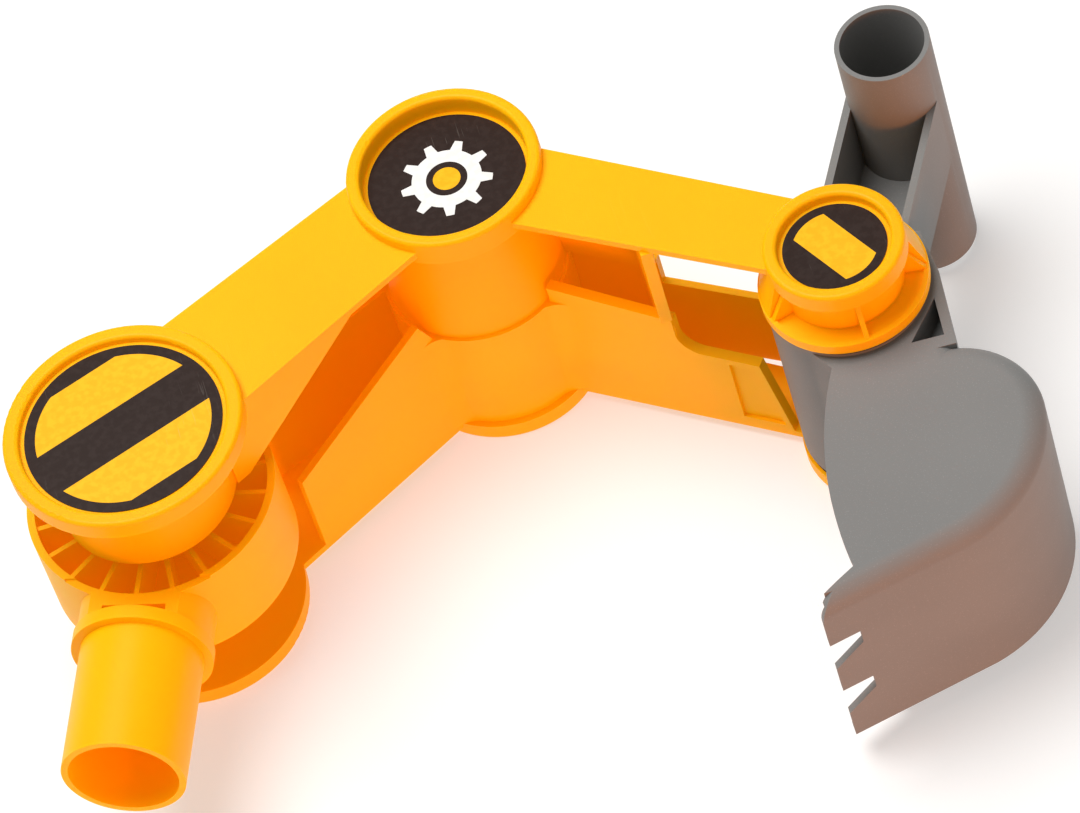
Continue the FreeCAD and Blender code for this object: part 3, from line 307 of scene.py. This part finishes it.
def moulded_plastic(name, colour, deep, pale, grain, roughness, glow, painted_glow, fleck=None):
    """Injection-moulded plastic: flow shading, fine grain, light scuffs and worn sheen.

    The glow is light that spreads under the skin. The painted glow is a faint emission in a deeper mix
    of the plastic's own colour. It is painted light that keeps the shaded walls lit, in place of light
    coming through thin walls and bounce light."""
    shader = Shader(name)
    place = shader.place()
    flow = shader.noise(shader.stretched(place, (9.0, 9.0, 22.0)), 1.0, 3.0, 0.55)
    base = shader.mix(shader.steps(flow, 0.35, 0.68), colour, deep)
    if fleck:
        specks = shader.steps(shader.noise(place, FLECK_GRAIN, 1.0), 0.62, 0.75)
        base = shader.mix(specks * 0.5, base, fleck)
    marks = scuffs(shader, place, 900.0, 0.5, 0.33) + scuffs(shader, place, 1300.0, -0.9, 0.34)
    worn = shader.mix(marks * 0.04, base, pale)
    fine = shader.noise(place, FINE_GRAIN, 2.0)
    soft = shader.noise(place, SOFT_GRAIN, 3.0)
    polish = shader.noise(place, 45.0, 3.0)
    height = fine * 0.6 + soft * 0.8 - marks * 0.5
    return shader.finish({
        "Base Color": worn,
        "Roughness": roughness - 0.07 + 0.14 * polish + 0.12 * marks,
        "IOR": 1.49,
        "Specular IOR Level": 0.14,
        # Painted glow: the plastic emits a deeper mix of its own colour, so walls in shade stay bright
        # orange.
        "Emission Color": shader.mix(0.6, worn, deep),
        "Emission Strength": painted_glow,
        "Subsurface Weight": glow,
        "Subsurface Radius": (1.0, 0.3, 0.02),
        "Subsurface Scale": 4.0 * MM,
        "Normal": shader.bump(height, grain),
    })


def printed_film(name, colour):
    """Satin sticker film with a faint ink mottle and orange peel."""
    shader = Shader(name)
    place = shader.place()
    mottle = shader.noise(place, 420.0, 4.0)
    lighter = tuple(min(1.0, part * 1.12 + 0.004) for part in colour)
    base = shader.mix(shader.steps(mottle, 0.4, 0.65), colour, lighter)
    marks = scuffs(shader, place, 1500.0, 0.3, 0.33)
    return shader.finish({
        "Base Color": shader.mix(marks * 0.1, base, (0.6, 0.55, 0.5)),
        "Roughness": 0.36 + 0.1 * shader.noise(place, 60.0) + 0.15 * marks,
        "Specular IOR Level": 0.14,
        "Normal": shader.bump(shader.noise(place, 300.0, 2.0), 0.02 * MM),
    })


def drawn_steel(name, colour):
    """Steel with fine lines round it from turning and drawing."""
    shader = Shader(name)
    place = shader.place()
    lines = shader.noise(shader.stretched(place, (40.0, 40.0, 9000.0)), 1.0, 2.0)
    bloom = shader.noise(place, 240.0, 3.0)
    darker = tuple(part * 0.78 for part in colour)
    return shader.finish({
        "Base Color": shader.mix(shader.steps(bloom, 0.4, 0.7), colour, darker),
        "Metallic": 1.0,
        "Roughness": 0.26 + 0.16 * lines,
        "Normal": shader.bump(lines, 0.01 * MM),
    })


def washer_rubber(name):
    """Matt black rubber with a dusty bloom."""
    shader = Shader(name)
    place = shader.place()
    dust = shader.steps(shader.noise(place, 180.0, 4.0), 0.45, 0.75)
    return shader.finish({
        "Base Color": shader.mix(dust * 0.5, (0.012, 0.011, 0.011), (0.05, 0.046, 0.042)),
        "Roughness": 0.62 + 0.2 * dust,
        "Normal": shader.bump(shader.noise(place, 1600.0, 3.0), 0.03 * MM),
    })


def paper_floor(name, colour, light):
    """Pale paper over a light table, with a barely visible tooth."""
    shader = Shader(name)
    place = shader.place()
    paler = tuple(min(1.0, part * 1.012) for part in colour)
    return shader.finish({
        "Base Color": shader.mix(shader.noise(place, 6.0, 2.0), colour, paler),
        "Roughness": 0.85 + 0.1 * shader.noise(place, 40.0),
        "Specular IOR Level": 0.2,
        "Emission Color": (1.0, 1.0, 1.0, 1.0),
        "Emission Strength": light,
        "Normal": shader.bump(shader.noise(place, 900.0, 3.0), 0.02 * MM),
    })


# ---------------------------------------------------------------- pieces

def set_of(name):
    return getattr(bpy.context.scene, name)


def dress(obj, *materials):
    """Gives a piece its materials and leaves each face on the one it was dealt."""
    dealt = [face.material_index for face in obj.data.polygons]
    obj.data.materials.clear()
    for material in materials:
        obj.data.materials.append(material)
    last = len(materials) - 1
    obj.data.polygons.foreach_set("material_index", [min(index, last) for index in dealt])


def new_piece(name, mesh_data, body, slot, *replaced):
    """Writes a bmesh as a piece that rides on a body and stands for CAD nodes."""
    mesh = bpy.data.meshes.new(name)
    mesh_data.to_mesh(mesh)
    mesh_data.free()
    obj = bpy.data.objects.new(name, mesh)
    bpy.context.scene.collection.objects.link(obj)
    mesh.shade_smooth()
    mesh.set_sharp_from_angle(angle=CREASE)
    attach(obj, body)
    if replaced:
        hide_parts(*replaced)
    return obj


def even_normals(obj):
    """Keeps large flat faces flat beside the small faces of a rounded edge."""
    modifier = obj.modifiers.new("even_normals", "WEIGHTED_NORMAL")
    modifier.keep_sharp = True
    modifier.weight = 60


def rounded_copy(node, name, body, slot, radius, steps):
    """A merged copy of a CAD node with its sharp edges rounded over."""
    shape = bmesh.new()
    shape.from_mesh(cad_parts[node].data)
    bmesh.ops.remove_doubles(shape, verts=shape.verts, dist=WELD)
    bmesh.ops.dissolve_limit(
        shape, angle_limit=FLAT, verts=shape.verts, edges=shape.edges,
        use_dissolve_boundaries=False)
    sharp = [
        edge for edge in shape.edges
        if len(edge.link_faces) == 2 and edge.calc_face_angle(0.0) > SHARP
    ]
    bmesh.ops.bevel(
        shape, geom=sharp, offset=radius, offset_type="OFFSET", segments=steps, profile=0.5,
        affect="EDGES", material=-1, clamp_overlap=True)
    piece = new_piece(name, shape, body, slot, node)
    even_normals(piece)
    return piece


def ring_of(node):
    """The centre of a round node's top face, its radius and its thickness."""
    low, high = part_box(node)
    centre = Vector(((low.x + high.x) / 2, (low.y + high.y) / 2, high.z))
    return centre, (high.x - low.x) / 2, high.z - low.z


def sticker_disc(radius, border, turn, cuts):
    """A round face with a border, cut along parallel lines. It lies at the origin, facing up."""
    shape = bmesh.new()
    bmesh.ops.create_circle(shape, cap_ends=True, segments=128, radius=radius)
    if shape.faces[:][0].normal.z < 0:
        bmesh.ops.reverse_faces(shape, faces=shape.faces)
    if border:
        bmesh.ops.inset_individual(shape, faces=shape.faces[:], thickness=border, use_even_offset=True)
    normal = Vector((-math.sin(turn), math.cos(turn), 0))
    for cut in cuts:
        everything = shape.verts[:] + shape.edges[:] + shape.faces[:]
        bmesh.ops.bisect_plane(shape, geom=everything, plane_co=normal * cut, plane_no=normal)
    return shape, normal


def thicken(shape, thickness, centre):
    """Gives a flat sticker its thickness, downwards, and moves it to its place."""
    bmesh.ops.recalc_face_normals(shape, faces=shape.faces)
    if sum(face.normal.z * face.calc_area() for face in shape.faces) < 0:
        bmesh.ops.reverse_faces(shape, faces=shape.faces)
    bmesh.ops.solidify(shape, geom=shape.faces[:], thickness=thickness)
    top = max(vert.co.z for vert in shape.verts)
    bmesh.ops.translate(shape, verts=shape.verts, vec=centre - Vector((0, 0, top)))


# ---------------------------------------------------------------- operators

class ARM_OT_socket(bpy.types.Operator):
    """Dress the base socket with its ribbed drum"""
    bl_idname = "arm.socket"
    bl_label = "Base socket"

    def execute(self, context):
        look = set_of("arm_moulding")
        piece = rounded_copy("base_socket", "socket_moulding", "base", "yellow_plastic",
                             look.edge_round, look.edge_steps)
        dress(piece, moulded_plastic(
            "socket_yellow", look.yellow, look.yellow_deep, look.yellow_pale,
            look.yellow_grain, SATIN_YELLOW, look.yellow_glow, look.yellow_painted_glow))
        return {"FINISHED"}


class ARM_OT_boom(bpy.types.Operator):
    """Dress the two halves of the boom"""
    bl_idname = "arm.boom"
    bl_label = "Boom halves"

    def execute(self, context):
        look = set_of("arm_moulding")
        for half in ("near", "far"):
            piece = rounded_copy("boom_%s_half" % half, "%s_moulding" % half, "boom",
                                 "yellow_plastic", look.edge_round, look.edge_steps)
            dress(piece, moulded_plastic(
                "%s_yellow" % half, look.yellow, look.yellow_deep, look.yellow_pale,
                look.yellow_grain, SATIN_YELLOW, look.yellow_glow, look.yellow_painted_glow))
        return {"FINISHED"}


class ARM_OT_bucket(bpy.types.Operator):
    """Dress the bucket, its lever and its handle"""
    bl_idname = "arm.bucket"
    bl_label = "Bucket"

    def execute(self, context):
        look = set_of("arm_moulding")
        piece = rounded_copy("bucket", "bucket_moulding", "scoop", "grey_plastic",
                             look.edge_round, look.edge_steps)
        darker = tuple(part * 0.93 for part in look.grey)
        dress(piece, moulded_plastic(
            "bucket_grey", look.grey, darker, look.grey_fleck, look.grey_grain, SATIN_GREY, 0.0, 0.0,
            look.grey_fleck))
        return {"FINISHED"}


class ARM_OT_pivots(bpy.types.Operator):
    """Dress the pivot pins, the washers and the screws"""
    bl_idname = "arm.pivots"
    bl_label = "Pins, washers and screws"

    def execute(self, context):
        steel = drawn_steel("pin_steel", (0.62, 0.62, 0.63))
        zinc = drawn_steel("screw_zinc", (0.55, 0.54, 0.5))
        rubber = washer_rubber("washer_black")
        for name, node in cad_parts.items():
            if name.endswith("_pin"):
                dress(node, steel)
            elif name.endswith("_screws"):
                dress(node, zinc)
            elif "_washer_" in name:
                dress(node, rubber)
        return {"FINISHED"}


class ARM_OT_stickers(bpy.types.Operator):
    """Make the three round stickers with their generic marks"""
    bl_idname = "arm.stickers"
    bl_label = "Stickers"

    def execute(self, context):
        look = set_of("arm_stickers")
        ink = printed_film("sticker_ink", look.ink)
        film = printed_film("sticker_film", look.film)
        mark = printed_film("sticker_mark", look.mark)

        centre, radius, thickness = ring_of("sticker_base")
        cuts = (-look.base_chord, -look.base_bar, look.base_bar, look.base_chord)
        shape, normal = sticker_disc(radius, look.base_border, look.base_turn, cuts)
        for face in shape.faces:
            middle = face.calc_center_median()
            aside = abs(middle.dot(normal))
            inside = middle.length < radius - look.base_border
            plain = look.base_bar < aside < look.base_chord
            face.material_index = 1 if inside and plain else 0
        thicken(shape, thickness, centre)
        dress(new_piece("base_sticker_print", shape, "boom", "sticker_film", "sticker_base"),
              ink, film)

        centre, radius, thickness = ring_of("sticker_bucket")
        shape, normal = sticker_disc(
            radius, look.tip_border, look.tip_turn, (-look.tip_bar, look.tip_bar))
        for face in shape.faces:
            middle = face.calc_center_median()
            inside = middle.length < radius - look.tip_border
            face.material_index = 1 if inside and abs(middle.dot(normal)) < look.tip_bar else 0
        thicken(shape, thickness, centre)
        dress(new_piece("bucket_sticker_print", shape, "boom", "sticker_film", "sticker_bucket"),
              ink, film)

        centre, radius, thickness = ring_of("sticker_elbow")
        shape, normal = sticker_disc(radius, 0.0, 0.0, ())
        thicken(shape, thickness, centre)
        dress(new_piece("elbow_sticker_print", shape, "boom", "sticker_film", "sticker_elbow"),
              ink)

        gear = gear_mark(look.gear_radius, look.gear_teeth)
        bmesh.ops.translate(gear, verts=gear.verts, vec=centre + Vector((0, 0, PRINT_LIFT)))
        dress(new_piece("elbow_gear_print", gear, "boom", "sticker_film"), mark)
        dot = bmesh.new()
        bmesh.ops.create_circle(dot, cap_ends=True, segments=48, radius=look.gear_radius * 0.3)
        bmesh.ops.translate(dot, verts=dot.verts, vec=centre + Vector((0, 0, PRINT_LIFT)))
        dress(new_piece("elbow_dot_print", dot, "boom", "sticker_film"), film)
        return {"FINISHED"}


def gear_mark(tip_radius, teeth):
    """A flat gear wheel with a round hole, at the origin, facing up."""
    root = 0.76 * tip_radius
    hole = 0.45 * tip_radius
    per_tooth = 8
    shape = bmesh.new()
    bmesh.ops.create_circle(shape, segments=teeth * per_tooth, radius=root)
    rim = shape.verts[:]
    for number, vert in enumerate(rim):
        if number % per_tooth in (1, 2, 3):
            vert.co *= tip_radius / root
    outer = shape.edges[:]
    bmesh.ops.create_circle(shape, segments=teeth * per_tooth, radius=hole)
    inner = [edge for edge in shape.edges if edge not in outer]
    bmesh.ops.bridge_loops(shape, edges=outer + inner)
    if sum(face.normal.z for face in shape.faces) < 0:
        bmesh.ops.reverse_faces(shape, faces=shape.faces)
    return shape


class ARM_OT_stage(bpy.types.Operator):
    """Make the floor, the lights and the camera"""
    bl_idname = "arm.stage"
    bl_label = "Stage"

    def execute(self, context):
        look = set_of("arm_stage")
        low, high = CAD_BOUNDS
        middle = (low + high) / 2
        size = (high - low).length

        ground = bmesh.new()
        bmesh.ops.create_grid(ground, x_segments=1, y_segments=1, size=FLOOR_SPAN * size)
        bmesh.ops.translate(ground, verts=ground.verts, vec=(middle.x, middle.y, low.z))
        mesh = bpy.data.meshes.new("floor")
        ground.to_mesh(mesh)
        ground.free()
        floor = bpy.data.objects.new("floor", mesh)
        context.scene.collection.objects.link(floor)
        dress(floor, paper_floor("floor_paper", look.floor, look.floor_light))

        self.lamp("key", middle + KEY_PLACE, middle, KEY_SIZE, KEY_POWER, (1.0, 1.0, 0.99))
        self.lamp("warm_front", middle + FRONT_PLACE, middle, FRONT_SIZE, FRONT_POWER,
                  (1.0, 0.26, 0.02))
        self.sky(context)

        camera = bpy.data.objects.new("camera", bpy.data.cameras.new("camera"))
        context.scene.collection.objects.link(camera)
        camera.matrix_world = (
            Matrix.Translation(look.place)
            @ Matrix.Rotation(math.pi / 2 - look.elevation, 4, "X")
            @ Matrix.Rotation(look.roll, 4, "Z"))
        camera.data.lens = look.lens
        camera.data.clip_start = 0.05
        camera.data.clip_end = 50.0
        context.scene.camera = camera
        context.scene.view_settings.view_transform = "Standard"
        return {"FINISHED"}

    def lamp(self, name, place, target, size, power, colour):
        light = bpy.data.lights.new(name, "AREA")
        light.shape = "DISK"
        light.size = size
        light.energy = power
        light.color = colour
        obj = bpy.data.objects.new(name, light)
        obj.location = place
        obj.rotation_euler = (target - place).to_track_quat("-Z", "Y").to_euler()
        bpy.context.scene.collection.objects.link(obj)

    def sky(self, context):
        """An even, nearly white sky."""
        world = bpy.data.worlds.new("studio")
        world.use_nodes = True
        nodes = world.node_tree.nodes
        background = nodes["Background"]
        background.inputs["Color"].default_value = (1.0, 0.98, 0.95, 1.0)
        background.inputs["Strength"].default_value = SKY_POWER
        context.scene.world = world


STEPS = (ARM_OT_socket, ARM_OT_boom, ARM_OT_bucket, ARM_OT_pivots, ARM_OT_stickers, ARM_OT_stage)


class ARM_PT_panel(bpy.types.Panel):
    """Lists the pieces of the digging arm"""
    bl_idname = "ARM_PT_panel"
    bl_label = "Digging arm"
    bl_space_type = "VIEW_3D"
    bl_region_type = "UI"
    bl_category = "Digging arm"

    def draw(self, context):
        for step in STEPS:
            self.layout.operator(step.bl_idname)
        for name, group in SETTINGS.items():
            box = self.layout.box()
            for key in group.__annotations__:
                box.prop(getattr(context.scene, name), key)


def register():
    for name, group in SETTINGS.items():
        bpy.utils.register_class(group)
        setattr(bpy.types.Scene, name, PointerProperty(type=group))
    for item in (*STEPS, ARM_PT_panel):
        bpy.utils.register_class(item)


def unregister():
    for item in reversed((*STEPS, ARM_PT_panel)):
        bpy.utils.unregister_class(item)
    for name, group in SETTINGS.items():
        delattr(bpy.types.Scene, name)
        bpy.utils.unregister_class(group)


def main():
    register()
    bpy.ops.arm.socket()
    bpy.ops.arm.boom()
    bpy.ops.arm.bucket()
    bpy.ops.arm.pivots()
    bpy.ops.arm.stickers()
    bpy.ops.arm.stage()


if __name__ == "__main__":
    main()
